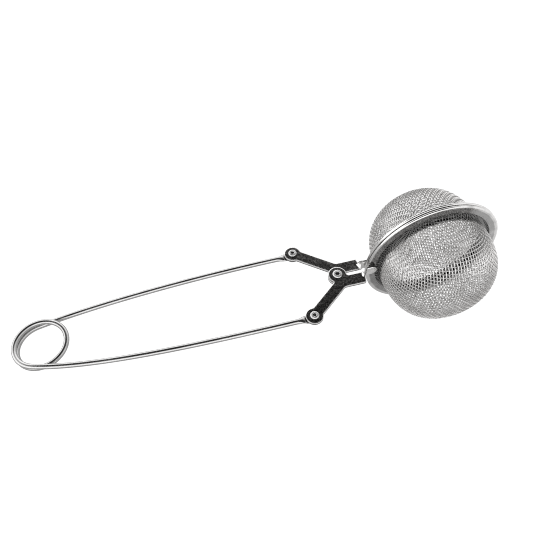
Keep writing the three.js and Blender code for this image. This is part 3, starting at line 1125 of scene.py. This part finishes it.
def rivet_steel(name):
    """Rolled rivet lips, peened and satin, with small tool marks."""
    n = Nodes(name)
    marks = n.noise(n.place(), 3.5, 4)
    colour = n.ramp(marks, ((0.3, grey(0.42, 0.01)), (0.6, grey(0.8, 0.005))))
    roughness = n.span(marks, 0.34, 0.5)
    return n.steel(colour, roughness, n.bump(marks, 0.25, 0.03))


FLOOR_SEEN = 1.0
FLOOR_MIRRORED = 0.42
FLOOR_MIRRORED_BEYOND = 0.85
# where along X the mirrored brightness rises
FLOOR_BRIGHTENS = (86, 104)


def floor_white(name):
    """Lit matt paper with a faint unevenness, brighter to look at than in the steel's reflections.

    The paper past the ball's end is out of the object's painted shadow, and mirrors brighter.
    """
    n = Nodes(name)
    cloudy = n.noise(n.place(), 0.01)
    colour = n.ramp(cloudy, ((0.3, grey(0.1)), (0.7, grey(0.12))))
    seen = n.add("ShaderNodeLightPath").outputs["Is Camera Ray"]
    along = n.add("ShaderNodeSeparateXYZ", {0: n.place()}).outputs["X"]
    # the mirrored glow is dim up to FLOOR_BRIGHTENS as a painted shadow of the object
    mirrored = n.span(along, FLOOR_MIRRORED, FLOOR_MIRRORED_BEYOND, *FLOOR_BRIGHTENS)
    glow = n.span(seen, mirrored, FLOOR_SEEN, 0, 1)
    return n.set(Base_Color=colour, Roughness=0.9, Emission_Color=(1, 1, 1, 1), Emission_Strength=glow)


MAKERS = {
    "wire_steel": wire_steel,
    "rim_steel": rim_steel,
    "cloth_steel": cloth_steel,
    "lever_face": lever_face,
    "lever_edge": lever_edge,
    "torn_edge": torn_edge,
    "collar_steel": collar_steel,
    "rivet_steel": rivet_steel,
    "floor_white": floor_white,
}


# ---- floor and light -----------------------------------------------------------------------------

FLOOR_REACH = 3000


def make_floor():
    corners = ((-1, -1), (1, -1), (1, 1), (-1, 1))
    points = [(FLOOR_REACH * x, FLOOR_REACH * y, 0) for x, y in corners]
    floor = mesh_piece("floor", points, [(0, 1, 2, 3)], smooth=False)
    floor.data.materials.append(material("floor_white"))


DARK_WAY = Vector((0, 0.05, 1)).normalized()
# cosines of the angle from DARK_WAY within which the tent is darkest, and past which it is bright
DARK_CORE = 0.82
DARK_EDGE = 0.62
SKY = 1.8
# the share of its light that the tent keeps towards +X, and the two directions' X it dims between
SKY_DIM_SIDE = 0.45
DIM_SIDE = (0.1, 0.9)
DARK = 0.03
BEHIND = 1.0

# in metres and watts
SIDE_LIGHT_PLACE = (0.9, -0.35, 0.35)
SIDE_LIGHT_AIM = (0, 0, 0.02)
SIDE_LIGHT_SIZE = 0.9
SIDE_LIGHT_POWER = 0.5


def make_world():
    """A white tent that is dark overhead and dimmer past the ball, and plain white to look at."""
    world = bpy.data.worlds.new("studio")
    world.use_nodes = True
    tree = world.node_tree

    def add(kind, inputs=None, **settings):
        return add_node(tree, kind, inputs, **settings)

    way = add("ShaderNodeTexCoord").outputs["Generated"]
    overhead = add("ShaderNodeVectorMath", {0: way, 1: DARK_WAY}, operation="DOT_PRODUCT")
    tent = add(
        "ShaderNodeMapRange",
        {"Value": overhead.outputs["Value"], "From Min": DARK_EDGE, "From Max": DARK_CORE,
         "To Min": SKY, "To Max": DARK},
        interpolation_type="SMOOTHSTEP",
    )
    past_ball = add("ShaderNodeSeparateXYZ", {0: way}).outputs["X"]
    dimmer = add(
        "ShaderNodeMapRange",
        {"Value": past_ball, "From Min": DIM_SIDE[0], "From Max": DIM_SIDE[1],
         "To Min": 1, "To Max": SKY_DIM_SIDE},
    )
    light = add(
        "ShaderNodeMath",
        {0: tent.outputs["Result"], 1: dimmer.outputs["Result"]},
        operation="MULTIPLY",
    )
    seen = add("ShaderNodeLightPath").outputs["Is Camera Ray"]
    strength = add("ShaderNodeMix",
                   {"Factor": seen, "A": light.outputs["Value"], "B": BEHIND},
                   data_type="FLOAT")
    background = tree.nodes["Background"]
    background.inputs["Color"].default_value = (1, 1, 1, 1)
    tree.links.new(strength.outputs["Result"], background.inputs["Strength"])
    bpy.context.scene.world = world


def make_light():
    data = bpy.data.lights.new("side", "AREA")
    data.shape = "DISK"
    data.size = SIDE_LIGHT_SIZE
    data.energy = SIDE_LIGHT_POWER
    light = bpy.data.objects.new("side", data)
    bpy.context.scene.collection.objects.link(light)
    light.location = SIDE_LIGHT_PLACE
    towards = Vector(SIDE_LIGHT_AIM) - Vector(SIDE_LIGHT_PLACE)
    light.rotation_euler = towards.to_track_quat("-Z", "Y").to_euler()


# ---- assembly ------------------------------------------------------------------------------------

make_bowls()
make_rims()
make_levers()
make_rivets()
make_wire()
make_floor()
make_world()
make_light()

bpy.context.scene.view_settings.view_transform = "Standard"
# woven wire a pixel wide is smeared by denoising and by a wide filter
bpy.context.scene.cycles.use_denoising = False
bpy.context.scene.cycles.filter_width = 1.1
